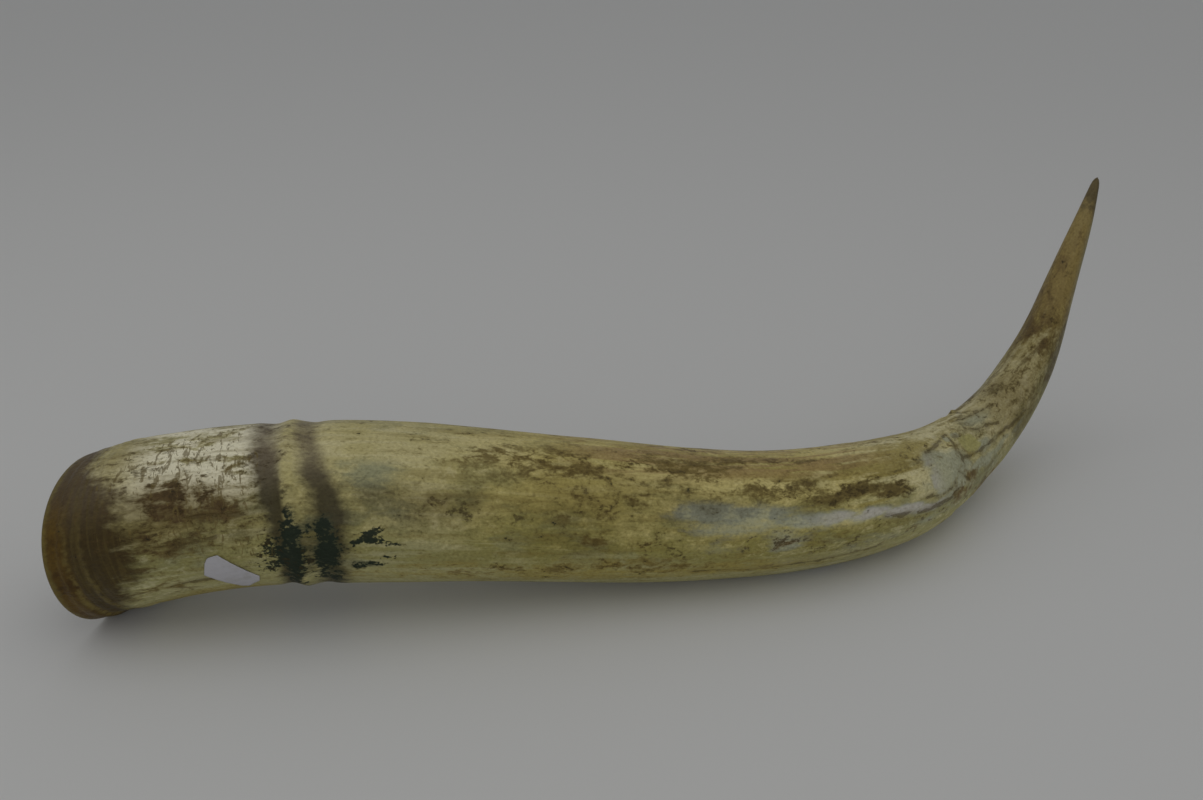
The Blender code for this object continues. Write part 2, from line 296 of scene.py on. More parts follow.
GOLD_PATCHES = [
    (440, 92, 50, 12, 0.75), (500, 108, 40, 11, 0.75), (560, 118, 36, 9, 0.85), (600, 104, 30, 13, 0.80),
    (585, 150, 14, 5, 0.40), (556, 151, 20, 3.5, 0.55), (520, 149, 20, 3, 0.50), (676, 128, 9, 9, 1.15),
    (400, 78, 60, 12, 0.55), (600, 60, 60, 16, 0.70), (700, 60, 40, 18, 0.55), (520, 20, 70, 20, 0.60),
    (350, 205, 60, 10, 0.55), (450, 204, 60, 10, 0.60), (260, 207, 60, 8, 0.45), (885, 90, 36, 70, 1.0),
    (880, 270, 50, 70, 0.95), (860, 30, 40, 50, 0.9), (92, 232, 30, 10, 0.9), (60, 238, 20, 12, 0.6),
    (122, 232, 16, 9, 0.6), (940, 200, 30, 90, 0.6),
]
FLECK_ZONES = [
    (80, 112, 28, 22, 1.2), (112, 122, 22, 18, 1.15), (58, 122, 16, 20, 0.9), (95, 92, 40, 12, 0.8),
    (262, 152, 20, 7, 0.9), (270, 148, 6, 3, 1.1), (300, 163, 10, 4, 1.0), (247, 146, 8, 5, 0.8),
    (330, 112, 36, 9, 0.45), (400, 112, 40, 9, 0.50), (470, 104, 30, 8, 0.45), (305, 197, 18, 5, 0.7),
    (360, 199, 30, 6, 0.9), (410, 180, 20, 8, 0.8), (440, 152, 12, 6, 0.6), (484, 175, 20, 8, 1.0),
    (520, 184, 24, 8, 1.0), (560, 182, 20, 8, 0.8), (530, 138, 34, 9, 1.0), (580, 146, 18, 8, 1.0),
    (620, 108, 22, 8, 0.9), (760, 110, 40, 28, 0.5), (810, 100, 26, 40, 0.4), (120, 60, 50, 30, 0.7),
    (220, 60, 60, 30, 0.5), (158, 195, 4, 20, 1.0), (128, 182, 12, 18, 1.0), (870, 90, 60, 90, 0.5),
    (600, 186, 30, 8, 0.9), (660, 190, 30, 10, 0.8), (352, 150, 20, 18, 0.5), (394, 176, 18, 7, 0.9),
    (92, 150, 36, 26, 0.9), (420, 300, 120, 60, 0.5), (520, 20, 140, 50, 0.6), (120, 290, 60, 50, 0.7),
]
FLAKY_ZONES = [
    (330, 114, 60, 14, 0.6), (440, 104, 60, 14, 0.7), (500, 126, 50, 14, 0.7), (570, 130, 40, 22, 0.7),
    (640, 140, 34, 40, 0.9), (700, 110, 40, 44, 1.0), (760, 120, 40, 60, 0.85), (815, 110, 26, 60, 0.65),
    (500, 178, 40, 12, 0.8), (590, 186, 50, 14, 0.8), (70, 150, 20, 30, 0.7), (110, 150, 20, 18, 0.5),
    (660, 250, 80, 50, 0.7), (560, 40, 90, 40, 0.6), (740, 320, 60, 60, 0.7), (60, 200, 14, 20, 0.6),
]
# Broad places where the whole colour is deeper.
DEEP_ZONES = [
    (72, 150, 34, 20, 1.15), (112, 152, 26, 16, 0.75), (150, 150, 22, 14, 0.55), (44, 104, 14, 34, 0.60),
    (235, 150, 50, 14, 0.80), (330, 148, 50, 14, 0.60), (420, 160, 50, 14, 0.40), (160, 182, 12, 18, 0.95),
    (345, 176, 30, 10, 0.55), (425, 142, 60, 16, 0.55), (350, 138, 50, 26, 0.70), (72, 147, 14, 9, 1.3),
    (86, 184, 26, 12, 0.30), (116, 166, 18, 10, 0.80), (98, 160, 16, 9, 0.50), (150, 95, 14, 20, 0.60),
    (380, 122, 60, 12, 0.45), (450, 100, 70, 14, 0.40), (560, 120, 60, 14, 0.40), (700, 100, 40, 50, 0.35),
    (765, 120, 40, 80, 1.0), (830, 120, 44, 180, 0.85), (905, 120, 60, 360, 0.20),
    (330, 345, 120, 50, 0.45), (600, 330, 90, 60, 0.45), (90, 340, 50, 60, 0.55),
]
# One smooth yellow-green plate at the bend.
SMOOTH_PLATES = [(678, 126, 9, 9, 1.3), (684, 134, 7, 6, 1.0)]
# Cracks: each runs through these points, distance in mm and turn in degrees. FAR_MM is the distance
# from a crack or the ring that stands for none near.
FAR_MM = 99.0
CRACKS = [
    [(662, 100), (660, 114), (654, 126), (655, 137), (651, 150)],
    [(661, 104), (650, 106), (640, 108), (628, 112), (616, 115)],
    [(722, 44), (716, 60), (714, 78), (720, 92), (716, 104)],
    [(655, 137), (664, 140), (690, 144), (706, 147), (724, 147), (744, 155), (764, 158)],
    [(641, 150), (648, 158), (652, 166)],
    [(562, 168), (580, 172), (600, 176), (622, 173), (636, 166)],
    [(596, 162), (612, 166), (628, 162)],
    [(690, 104), (700, 116), (716, 122), (730, 132)],
    [(64, 206), (84, 205), (104, 208)],
    [(70, 152), (96, 153), (120, 155)],
    [(60, 170), (84, 171), (100, 168)],
    [(688, 84), (704, 92), (722, 96), (742, 104)],
    [(430, 205), (470, 208), (520, 208), (566, 205)],
    [(344, 132), (350, 140), (358, 144)],
    [(240, 146), (247, 150), (252, 146)],
    [(262, 150), (272, 148)],
]

# Dark bands beside the pale ring: how far from the ridge and how wide, in mm, and how strong,
# at these turns. BANDS adds how much stronger the one on the left is.
BAND_TURNS = (75, 101, 126, 140, 157, 175, 203, 240, 300, 360)
LEFT_BAND = (-16, -16, -12, -9, -6, -4, -6, -8, -10, -13)
LEFT_WIDTH = (10, 11, 10, 9, 9, 9, 9, 8, 8, 8)
RIGHT_BAND = (11, 12, 18, 21, 25, 26, 24, 20, 17, 14)
RIGHT_WIDTH = (9, 10, 11, 11, 12, 12, 12, 11, 9, 9)
BANDS = ((LEFT_BAND, LEFT_WIDTH, 1.18), (RIGHT_BAND, RIGHT_WIDTH, 1.0))
BAND_STRENGTH = (0.72, 0.80, 1.05, 1.20, 1.25, 1.20, 1.0, 0.9, 0.7, 0.55)
# Where the dark brown of the open end stops, in mm from the rim, at these turns.
BASE_TURNS = (20, 75, 95, 112, 127, 142, 157, 170, 184, 200, 214, 240, 300, 340)
BASE_ENDS = (26, 25, 29, 37, 51, 58, 57, 57, 55, 50, 42, 34, 28, 26)


def field(s, degrees, spots):
    """Strongest of the soft spots at each point."""
    out = np.zeros_like(s)
    for at, turn, long, wide, strength in spots:
        off = (degrees - turn + 180.0) % 360.0 - 180.0
        d = ((s * 1000.0 - at) / long) ** 2 + (off / wide) ** 2
        out = np.maximum(out, strength * np.exp(-0.5 * d))
    return out


def crack_distance(s, degrees, radius):
    """Distance in mm from the nearest crack line, on the unrolled skin."""
    out = np.full(s.shape, FAR_MM)
    x = s * 1000.0
    scale = math.radians(1.0) * radius * 1000.0
    for line in CRACKS:
        for (xa, ta), (xb, tb) in zip(line, line[1:]):
            ya = (ta - degrees) * scale
            yb = (tb - degrees) * scale
            dx = xb - xa
            dy = yb - ya
            t = np.clip((-(xa - x) * dx - ya * dy) / (dx * dx + dy * dy), 0.0, 1.0)
            out = np.minimum(out, np.hypot(xa - x + t * dx, ya + t * dy))
    return out


def fractal(space, along, across, shift, octaves):
    """Noise at each place, about -1 to 1, with so many waves a metre along and across the horn."""
    places = space.reshape(-1, 3) * (along, across, across) + shift
    heights = [noise.fractal(Vector(p), NOISE_ROUGHNESS, NOISE_STEP, octaves) for p in places]
    return np.array(heights).reshape(space.shape[:-1])


def steps_to_places(steps):
    """Distances from the rim, evenly spaced up to the end of each step."""
    at = [0.0]
    for end, gap in steps:
        start = at[-1]
        count = max(1, round((end / 1000.0 - start) / (gap / 1000.0)))
        for i in range(1, count + 1):
            at.append(start + (end / 1000.0 - start) * i / count)
    return np.array(at)


def fine_relief(s, degrees, space, marks):
    """Small relief that the solid leaves out: growth lines, flaked layers, cracks and pits."""
    lines = fractal(space, 9.0, 95.0, 0.0, 3)
    lumps = fractal(space, 14.0, 20.0, 7.0, 2)
    layers = fractal(space, 26.0, 62.0, 3.0, 4)
    pits = fractal(space, 120.0, 170.0, 11.0, 2)
    calm = smooth(s, 0.004, 0.02) * (1.0 - smooth(s, 0.93, 0.985))
    out = LINE_HEIGHT * lines * calm + LUMP_HEIGHT * lumps * calm

    # Layers lifting off round the bend: the noise is cut into terraces.
    flaky = np.clip(marks["flaky"] - 0.35, 0.0, 1.0) * 1.5 * calm
    level = layers * 3.0
    frac = level - np.floor(level)
    terrace = np.floor(level) + smooth(frac, 0.84, 1.0)
    out = out + TERRACE_HEIGHT * np.clip(terrace, -3.0, 3.0) * np.clip(flaky, 0.0, 1.0)

    # Fine pits, worn skin in the stains, and the cracks.
    out = out + PIT_HEIGHT * pits * calm * (0.4 + 0.6 * marks["fleck"])
    out = out - CRACK_DEPTH * bump(marks["crack"], CRACK_WIDTH_MM)
    out = out + CHALK_HEIGHT * np.clip(marks["white"], 0.0, 1.0) * flaky
    sway = 0.6 * np.sin(np.radians(degrees) * 4.0)
    ring = 0.5 + 0.5 * np.sin(s * 1000.0 * END_RINGS_PER_MM + 2.5 * lumps + sway)
    out = out + END_RING_HEIGHT * ring * (1.0 - smooth(s, 0.03, 0.06)) * calm

    # One sliver of skin stands up on the inside of the bend.
    sliver = bump(s - SLIVER_AT, SLIVER_LONG) * bump(degrees - SLIVER_TURN, SLIVER_WIDE)
    return out + SLIVER_HEIGHT * sliver


def make_marks(s, degrees, space, half):
    """How strong each mark is at every point of the skin. The edges wander with the noise."""
    one = fractal(space, 26.0, 34.0, 21.0, 3)
    two = fractal(space, 26.0, 34.0, 43.0, 3)
    fine = fractal(space, 95.0, 110.0, 65.0, 2)
    thinner = np.clip(THICK_PART / half, 1.0, 2.0)
    s_off = s + WANDER_ALONG * one + WANDER_FINE * fine
    turn_off = degrees + WANDER_ROUND * two * thinner
    crack_turn = degrees + CRACK_WANDER_ROUND * one * thinner
    ring = (s - RIDGE_AT + RING_LEAN * np.sin(np.radians(degrees))) * 1000.0
    ring_off = ring + 2.2 * one + 1.3 * fine
    bands = []
    for at, width, share in BANDS:
        middle = np.interp(degrees, BAND_TURNS, at, period=360.0)
        spread = np.interp(degrees, BAND_TURNS, width, period=360.0)
        bands.append(share * bump(ring_off - middle, spread))
    band_strength = np.interp(degrees, BAND_TURNS, BAND_STRENGTH, period=360.0)
    ends = np.interp(degrees, BASE_TURNS, BASE_ENDS, period=360.0)
    stain_s = s + WANDER_FINE * fine
    return {
        "green": field(stain_s, degrees + 1.2 * two, GREEN_STAINS),
        "brown": field(s_off, turn_off, BROWN_STAINS),
        "white": field(s_off, degrees + 0.4 * (turn_off - degrees), WHITE_PATCHES),
        "gold": field(s_off, degrees + 0.5 * (turn_off - degrees), GOLD_PATCHES),
        "fleck": field(s_off, turn_off, FLECK_ZONES),
        "flaky": field(s_off, turn_off, FLAKY_ZONES),
        "deep": field(s_off, degrees + 0.6 * (turn_off - degrees), DEEP_ZONES),
        "smooth": field(s + 0.3 * (s_off - s), degrees, SMOOTH_PLATES),
        "crack": crack_distance(s + CRACK_WANDER_ALONG * fine, crack_turn, half),
        "low": 0.5 - 0.5 * np.sin(np.radians(degrees)),
        "ring": ring,
        "band": np.maximum(bands[0], bands[1]) * band_strength,
        "base": np.clip((ends - s * 1000.0 + 5.0 * one + 2.0 * fine) / 16.0, -1.0, 2.0),
        "dark_ring": smooth(degrees, 108.0, 150.0) * (1.0 - smooth(degrees, 285.0, 340.0)),
    }


def straightened(s, turn, half):
    """Place on the straightened horn, which the noise and the shaders read."""
    return np.stack([s, half[:, None] * np.cos(turn), half[:, None] * np.sin(turn)], axis=2)


def round_axis(r, turn, centre, side, up):
    """Points at the distance r round the axis."""
    across = (WIDE * r * np.cos(turn))[:, :, None] * side[:, None, :]
    upward = (TALL * r * np.sin(turn))[:, :, None] * up[:, None, :]
    return centre[:, None, :] + across + upward + SHIFT


def skin_points(s_values, turns):
    """Points of the outer surface, their places on the straightened horn, and their marks."""
    s, turn = np.meshgrid(s_values, turns, indexing="ij")
    degrees = np.degrees(turn)
    centre, side, up, half = section(s_values)
    space = straightened(s, turn, half)
    marks = make_marks(s, degrees, space, half[:, None])
    r = half[:, None] + relief(s, turn) + fine_relief(s, degrees, space, marks)
    along, depth = RIM_ROUND
    r = r - depth * np.clip((along - s) / along, 0.0, 1.0) ** 2
    point = np.clip((s - (LENGTH - POINT_ROUND)) / POINT_ROUND, 0.0, 1.0)
    r = r * np.sqrt(1.0 - 0.97 * point**2)
    outer = round_axis(r, turn, centre, side, up)
    outer[:, :, 2] = np.maximum(outer[:, :, 2], 0.0)
    return outer, space, marks


def hollow_points(t_values, turns):
    """Points of the hollow and their places on the straightened horn."""
    t, turn = np.meshgrid(t_values, turns, indexing="ij")
    centre, side, up, _ = section(t_values)
    hollow = CAVITY(t_values)[:, 0]
    space = straightened(t, turn, hollow)
    rough = fractal(space, 12.0, 60.0, 0.0, 3)
    r = hollow[:, None] + CAVITY_ROUGHNESS * rough * smooth(t, 0.0, 0.02)
    along, depth = RIM_ROUND_INSIDE
    r = r + depth * np.clip((along - t) / along, 0.0, 1.0) ** 2
    return round_axis(r, turn, centre, side, up), space


def ring_faces(row_a, row_b, u_a, u_b, is_inside):
    """Faces between two rings of points: corners, places on the flat map, inside or not."""
    made = []
    for i in range(AROUND):
        j = (i + 1) % AROUND
        v0 = i / AROUND
        v1 = (i + 1) / AROUND
        corners = (row_a + i, row_a + j, row_b + j, row_b + i)
        made.append((corners, ((u_a, v0), (u_a, v1), (u_b, v1), (u_b, v0)), is_inside))
    return made


def end_faces(last, tip, u_last, end, deep, u_end):
    """Faces that close the point and the end of the hollow."""
    made = []
    for i in range(AROUND):
        j = (i + 1) % AROUND
        v0 = i / AROUND
        v1 = (i + 1) / AROUND
        made.append(((last + j, last + i, tip), ((u_last, v1), (u_last, v0), (MAP_TIP, v0)), False))
        made.append(((end + i, end + j, deep), ((u_end, v0), (u_end, v1), (MAP_DEEP, v0)), True))
    return made


def horn_faces(s_values, t_values):
    """Faces of the skin, the hollow, the rim between them and the two ends."""
    first_in = len(s_values) * AROUND
    tip = first_in + len(t_values) * AROUND
    u_out = MAP_SKIN[0] + MAP_SKIN[1] * s_values / LENGTH
    u_in = MAP_HOLLOW[0] + MAP_HOLLOW[1] * t_values / CAVITY_END
    made = []
    for k in range(len(s_values) - 1):
        made += ring_faces((k + 1) * AROUND, k * AROUND, u_out[k + 1], u_out[k], False)
    for k in range(len(t_values) - 1):
        row = first_in + k * AROUND
        made += ring_faces(row, row + AROUND, u_in[k], u_in[k + 1], True)
    made += ring_faces(0, first_in, MAP_SKIN[0], MAP_RIM, False)
    return made + end_faces(first_in - AROUND, tip, u_out[-1], tip - AROUND, tip + 1, u_in[-1])


def build_horn():
    s_values = steps_to_places(FINE_STEPS_MM)
    t_values = steps_to_places(INNER_STEPS_MM)
    turns = np.arange(AROUND) * (2.0 * math.pi / AROUND)
    outer, space, marks = skin_points(s_values, turns)
    inner, space_in = hollow_points(t_values, turns)
    ends = AXIS(np.array([LENGTH, CAVITY_END]))[:, :3] + SHIFT
    points = np.concatenate([outer.reshape(-1, 3), inner.reshape(-1, 3), ends])
    corners, maps, inside = zip(*horn_faces(s_values, t_values))

    mesh = bpy.data.meshes.new("horn_surface")
    mesh.from_pydata(points.tolist(), [], corners)
    mesh.polygons.foreach_set("use_smooth", [True] * len(corners))
    mesh.polygons.foreach_set("material_index", [int(x) for x in inside])
    layer = mesh.uv_layers.new(name="OFBake")
    layer.uv.foreach_set("vector", np.array([c for m in maps for c in m], dtype=np.float32).ravel())
    put_marks(mesh, marks, space, space_in)
    thing = bpy.data.objects.new("horn_surface", mesh)
    bpy.context.scene.collection.objects.link(thing)
    thing.data.materials.append(horn_material())
    thing.data.materials.append(hollow_material())
    fix_normals(mesh)
    return thing


def put_marks(mesh, marks, space, space_in):
    """Writes the straightened places and the marks as point attributes, for the shaders."""
    ends = [(LENGTH, 0.0, 0.0), (CAVITY_END, 0.0, 0.0)]
    put(mesh, "horn_space", "FLOAT_VECTOR", "vector",
        np.concatenate([space.reshape(-1, 3), space_in.reshape(-1, 3), ends]))
    unmarked = len(space_in.reshape(-1, 3)) + len(ends)
    for name, values in marks.items():
        if name in ("crack", "ring"):
            fill = FAR_MM
        else:
            fill = 0.0
        put(mesh, name, "FLOAT", "value", np.concatenate([values.ravel(), np.full(unmarked, fill)]))


def put(mesh, name, kind, field_name, values):
    made = mesh.attributes.new(name, kind, "POINT")
    made.data.foreach_set(field_name, np.asarray(values, dtype=np.float32).ravel())


def fix_normals(mesh):
    """Turns the whole closed mesh the right way out if its volume is negative."""
    mesh.calc_loop_triangles()
    v = np.array([p.co for p in mesh.vertices])
    t = np.array([p.vertices[:] for p in mesh.loop_triangles])
    a, b, c = v[t[:, 0]], v[t[:, 1]], v[t[:, 2]]
    if np.einsum("ij,ij->i", a, np.cross(b, c)).sum() < 0.0:
        mesh.flip_normals()


# Sticker.

def skin(s, turn, lift):
    """Points on the solid's skin, lifted off it by so much."""
    centre, side, up, half = section(s)
    r = half + relief(s, turn) + lift
    across = (WIDE * r * np.cos(turn))[:, None] * side
    upward = (TALL * r * np.sin(turn))[:, None] * up
    return centre + across + upward + SHIFT


def label_edges(x):
    """Lower and upper edge of the sticker, with its clipped corners, at x along it."""
    long = LABEL_LONG / 2.0
    wide = LABEL_WIDE / 2.0
    xs = (-long, -long + 0.001, -long + 0.004, long - 0.004, long)
    low = np.interp(x, xs, (-0.45 * wide, -0.62 * wide, -wide, -wide, -0.5 * wide))
    xs = (-long, -long + 0.001, -long + 0.007, long - 0.003, long)
    high = np.interp(x, xs, (-0.30 * wide, 0.05 * wide, wide, wide, 0.7 * wide))
    return low, high


def build_label():
    nx, ny = LABEL_STEPS
    x = np.linspace(-LABEL_LONG / 2.0, LABEL_LONG / 2.0, nx + 1)
    low, high = label_edges(x)
    share = np.linspace(0.0, 1.0, ny + 1)
    y = low[:, None] * (1.0 - share) + high[:, None] * share
    x = np.repeat(x[:, None], ny + 1, axis=1)
    along = x * math.cos(LABEL_SLANT) - y * math.sin(LABEL_SLANT)
    across = x * math.sin(LABEL_SLANT) + y * math.cos(LABEL_SLANT)
    s = (LABEL_S + along).ravel()
    turn = (LABEL_TURN + across / LABEL_RADIUS).ravel()
    edge = np.broadcast_to(np.minimum(share, 1.0 - share), x.shape).ravel()
    end = np.abs(x.ravel()) / (LABEL_LONG / 2.0)
    curl = LABEL_CURL * smooth(end, 0.86, 1.0) * smooth(1.0 - edge, 0.55, 1.0)
    puff = LABEL_PUFF * np.sin(x.ravel() * 900.0 + y.ravel() * 500.0)
    lift = LABEL_LIFT + curl + puff
    low_points = skin(s, turn, lift)
    high_points = skin(s, turn, lift + LABEL_THICK)
    points = np.concatenate([high_points, low_points])
    count = (nx + 1) * (ny + 1)

    def at(i, j):
        return i * (ny + 1) + j

    faces = []
    for i in range(nx):
        for j in range(ny):
            quad = (at(i, j), at(i + 1, j), at(i + 1, j + 1), at(i, j + 1))
            faces.append(quad)
            faces.append(tuple(count + q for q in reversed(quad)))
    border = [at(i, 0) for i in range(nx)] + [at(nx, j) for j in range(ny)]
    border += [at(i, ny) for i in range(nx, 0, -1)] + [at(0, j) for j in range(ny, 0, -1)]
    for a, b in zip(border, border[1:] + border[:1]):
        faces.append((b, a, count + a, count + b))
    mesh = bpy.data.meshes.new("sticker")
    mesh.from_pydata(points.tolist(), [], faces)
    mesh.polygons.foreach_set("use_smooth", [True] * len(faces))
    fix_normals(mesh)
    thing = bpy.data.objects.new("sticker", mesh)
    bpy.context.scene.collection.objects.link(thing)
    thing.data.materials.append(paper_material())
    return thing


# Materials.

class Shader:
    """A Principled material and short ways to add nodes to it."""

    def __init__(self, name):
        self.made = bpy.data.materials.new(name)
        self.made.use_nodes = True
        self.tree = self.made.node_tree
        self.main = self.tree.nodes["Principled BSDF"]

    def node(self, kind, **settings):
        made = self.tree.nodes.new(kind)
        for key, value in settings.items():
            setattr(made, key, value)
        return made

    def feed(self, socket, value):
        if isinstance(value, bpy.types.NodeSocket):
            self.tree.links.new(value, socket)
        elif isinstance(value, tuple) and len(value) == 3 and socket.type == "RGBA":
            socket.default_value = (*value, 1.0)
        else:
            socket.default_value = value

    def number(self, name):
        return self.node("ShaderNodeAttribute", attribute_name=name).outputs["Fac"]

    def place(self, name):
        return self.node("ShaderNodeAttribute", attribute_name=name).outputs["Vector"]

    def math(self, kind, a, b=0.0):
        made = self.node("ShaderNodeMath", operation=kind)
        self.feed(made.inputs[0], a)
        self.feed(made.inputs[1], b)
        return made.outputs[0]

    def stretch(self, vector, amounts, shift=(0.0, 0.0, 0.0)):
        made = self.node("ShaderNodeVectorMath", operation="MULTIPLY_ADD")
        self.feed(made.inputs[0], vector)
        made.inputs[1].default_value = amounts
        made.inputs[2].default_value = shift
        return made.outputs[0]

    def noise(self, vector, detail=4.0, rough=0.55, warp=0.0):
        made = self.node("ShaderNodeTexNoise")
        self.feed(made.inputs["Vector"], vector)
        made.inputs["Scale"].default_value = 1.0
        made.inputs["Detail"].default_value = detail
        made.inputs["Roughness"].default_value = rough
        made.inputs["Distortion"].default_value = warp
        return made.outputs["Fac"]

    def step(self, value, low, high, to_low=0.0, to_high=1.0):
        made = self.node("ShaderNodeMapRange", interpolation_type="SMOOTHSTEP")
        self.feed(made.inputs["Value"], value)
        made.inputs["From Min"].default_value = low
        made.inputs["From Max"].default_value = high
        made.inputs["To Min"].default_value = to_low
        made.inputs["To Max"].default_value = to_high
        return made.outputs["Result"]

    def mix(self, amount, under, over, kind="MIX"):
        made = self.node("ShaderNodeMix", data_type="RGBA", blend_type=kind)
        self.feed(made.inputs[0], amount)
        self.feed(made.inputs[6], under)
        self.feed(made.inputs[7], over)
        return made.outputs[2]

    def add_grains(self, mark, *grains):
        """The mark plus so much of each grain, for a ragged edge."""
        for grain, amount in grains:
            mark = self.math("ADD", mark, self.times(self.math("SUBTRACT", grain, 0.5), amount))
        return mark

    def cover(self, grain, share, soft):
        """Mask that covers about this share of the surface, where the grain is highest."""
        even = self.step(grain, 0.30, 0.70)
        return self.step(self.math("ADD", even, share), 1.0, 1.0 + soft)

    def times(self, first, *rest):
        for other in rest:
            first = self.math("MULTIPLY", first, other)
        return first

    def grain(self, name):
        """One of the grains of the skin, laid out along the straightened horn."""
        along, across, shift, detail, rough, warp = GRAINS[name]
        stretched = self.stretch(self.place("horn_space"), (along, across, across), shift)
        return self.noise(stretched, detail, rough, warp)

    def complete(self, colour, rough, height, strength, depth):
        """Joins the colour, the roughness and a bump to the shader."""
        self.feed(self.main.inputs["Base Color"], colour)
        self.feed(self.main.inputs["Roughness"], rough)
        bumps = self.node("ShaderNodeBump")
        bumps.inputs["Strength"].default_value = strength
        bumps.inputs["Distance"].default_value = depth
        self.feed(bumps.inputs["Height"], height)
        self.feed(self.main.inputs["Normal"], bumps.outputs[0])
        return self.made


# Grains of the skin: waves a metre along and across the horn, shift, detail, roughness, warp.
GRAINS = {
    "wash": (9.0, 16.0, (0.0, 0.0, 0.0), 2.0, 0.55, 0.0),
    "broad": (20.0, 46.0, (3.0, 1.0, 2.0), 5.0, 0.60, 0.6),
    "streak": (15.0, 170.0, (0.0, 0.0, 0.0), 4.0, 0.60, 0.3),
    "flake": (62.0, 120.0, (9.0, 4.0, 6.0), 6.0, 0.64, 0.7),
    "mottle": (130.0, 170.0, (1.0, 5.0, 2.0), 5.0, 0.62, 0.5),
    "upright": (330.0, 105.0, (2.0, 8.0, 3.0), 4.0, 0.60, 0.8),
    "grit": (420.0, 540.0, (0.0, 0.0, 0.0), 2.0, 0.55, 0.0),
    "layers": (330.0, 24.0, (4.0, 2.0, 7.0), 5.0, 0.62, 0.7),
    "hollow_ribs": (26.0, 150.0, (0.0, 0.0, 0.0), 5.0, 0.6, 0.6),
    "hollow_rings": (260.0, 16.0, (0.0, 0.0, 0.0), 4.0, 0.55, 0.4),
    "hollow_blots": (34.0, 42.0, (0.0, 0.0, 0.0), 6.0, 0.62, 0.5),
}

# Pale arcs behind the rim: distance from the rim, half breadth, strength.
BASE_ARCS = ((0.0185, 0.0030, 0.85), (0.0300, 0.0024, 0.50), (0.0120, 0.0014, 0.30))
RING_HALF_MM = (5.5, 2.0)  # the pale ring ends and is full, this far from its middle

# Colours, as linear values. The last five multiply what is under them.
CREAM = (0.62, 0.555, 0.29)
PALE = (0.78, 0.73, 0.50)
STRAW = (0.50, 0.44, 0.185)
# Partly the horn's own olive, partly painted shade on the side turned away from the top light.
SHADED_OLIVE = (0.285, 0.265, 0.095)
# Paler olive of the underside: the horn's olive with painted bounce light from the floor.
BOUNCE_LIT_OLIVE = (0.46, 0.43, 0.20)
SAGE = (0.30, 0.305, 0.185)
TAN = (0.235, 0.182, 0.052)
GOLD = (0.36, 0.290, 0.075)
TIP_GOLD = (0.265, 0.190, 0.062)
TIP_GREEN = (0.222, 0.208, 0.108)
BROWN = (0.150, 0.108, 0.030)
TAWNY = (0.190, 0.134, 0.030)
LIGHT_TAWNY = (0.245, 0.172, 0.058)
RED_BROWN = (0.165, 0.100, 0.034)
DARK_BROWN = (0.052, 0.034, 0.009)
END_BROWN = (0.046, 0.027, 0.004)
END_LAYER = (0.088, 0.060, 0.013)
AMBER = (0.060, 0.029, 0.002)
LIGHT_AMBER = (0.113, 0.064, 0.006)
GREEN_BLACK = (0.012, 0.021, 0.011)
GREY_BROWN = (0.138, 0.107, 0.068)
END_GREY = (0.084, 0.056, 0.028)
BAND_OLIVE = (0.051, 0.041, 0.015)
CHALK = (0.43, 0.432, 0.285)
BLUE_GREY = (0.34, 0.36, 0.285)
LILAC_GREY = (0.53, 0.50, 0.44)
PLATE = (0.44, 0.41, 0.15)
RUST = (0.370, 0.250, 0.105)
# Pale cream of the top near the open end, brightened with a painted highlight.
LIT_PALE_TOP = (0.93, 0.88, 0.67)
LIP_OLIVE = (0.19, 0.15, 0.035)
GREEN_TINT = (0.052, 0.060, 0.028)
POINT_DARK = (0.070, 0.056, 0.030)
HOLLOW_BROWN = (0.19, 0.135, 0.070)
HOLLOW_PALE = (0.31, 0.245, 0.135)
HOLLOW_RING = (0.12, 0.085, 0.045)
HOLLOW_BLOT = (0.080, 0.055, 0.030)
# White paper greyed by painted shade.
SHADED_PAPER = (0.50, 0.49, 0.52)
PAPER_GRIME = (0.37, 0.355, 0.33)
WARM_DEEP = (0.97, 0.92, 0.68)
DEEPER = (0.50, 0.46, 0.38)
# Painted bounce light on the lower side of the bend.
BEND_BOUNCE_LIGHT = (1.24, 1.24, 1.20)
GRIT_DARK = (0.84, 0.82, 0.76)
GRIT_LIGHT = (1.12, 1.12, 1.10)


class HornShader(Shader):
    """The horn's skin: its grains and marks, and the colour so far, to which each function adds."""

    def __init__(self):
        super().__init__("horn_keratin")
        split = self.node("ShaderNodeSeparateXYZ")
        self.feed(split.inputs[0], self.place("horn_space"))
        self.s = split.outputs[0]
        self.low = self.number("low")
        self.fleck_mark = self.number("fleck")
        self.broad = self.grain("broad")
        self.wash = self.grain("wash")
        self.streak = self.grain("streak")
        self.flake = self.grain("flake")
        self.mottle = self.grain("mottle")
        self.grit = self.grain("grit")
        self.ragged = self.add_grains(self.flake, (self.mottle, 0.60), (self.grit, 0.20))
        self.cloud = self.add_grains(self.broad, (self.ragged, 0.55))
        self.second = self.add_grains(self.mottle, (self.flake, 0.9))
        self.plate = self.step(self.add_grains(self.number("smooth"), (self.mottle, 0.8)), 0.35, 0.55)
        self.colour = CREAM

    def lay(self, mask, over, most=1.0, kind="MIX"):
        """Lays a colour over the colour so far where the mask is, at most by this share."""
        if most < 1.0:
            mask = self.times(mask, most)
        self.colour = self.mix(mask, self.colour, over, kind)

    def between(self, start, full, still, end):
        """Mask along the horn, in metres from the rim: rises to full, holds still, falls to the end."""
        return self.times(self.step(self.s, start, full), self.step(self.s, end, still))


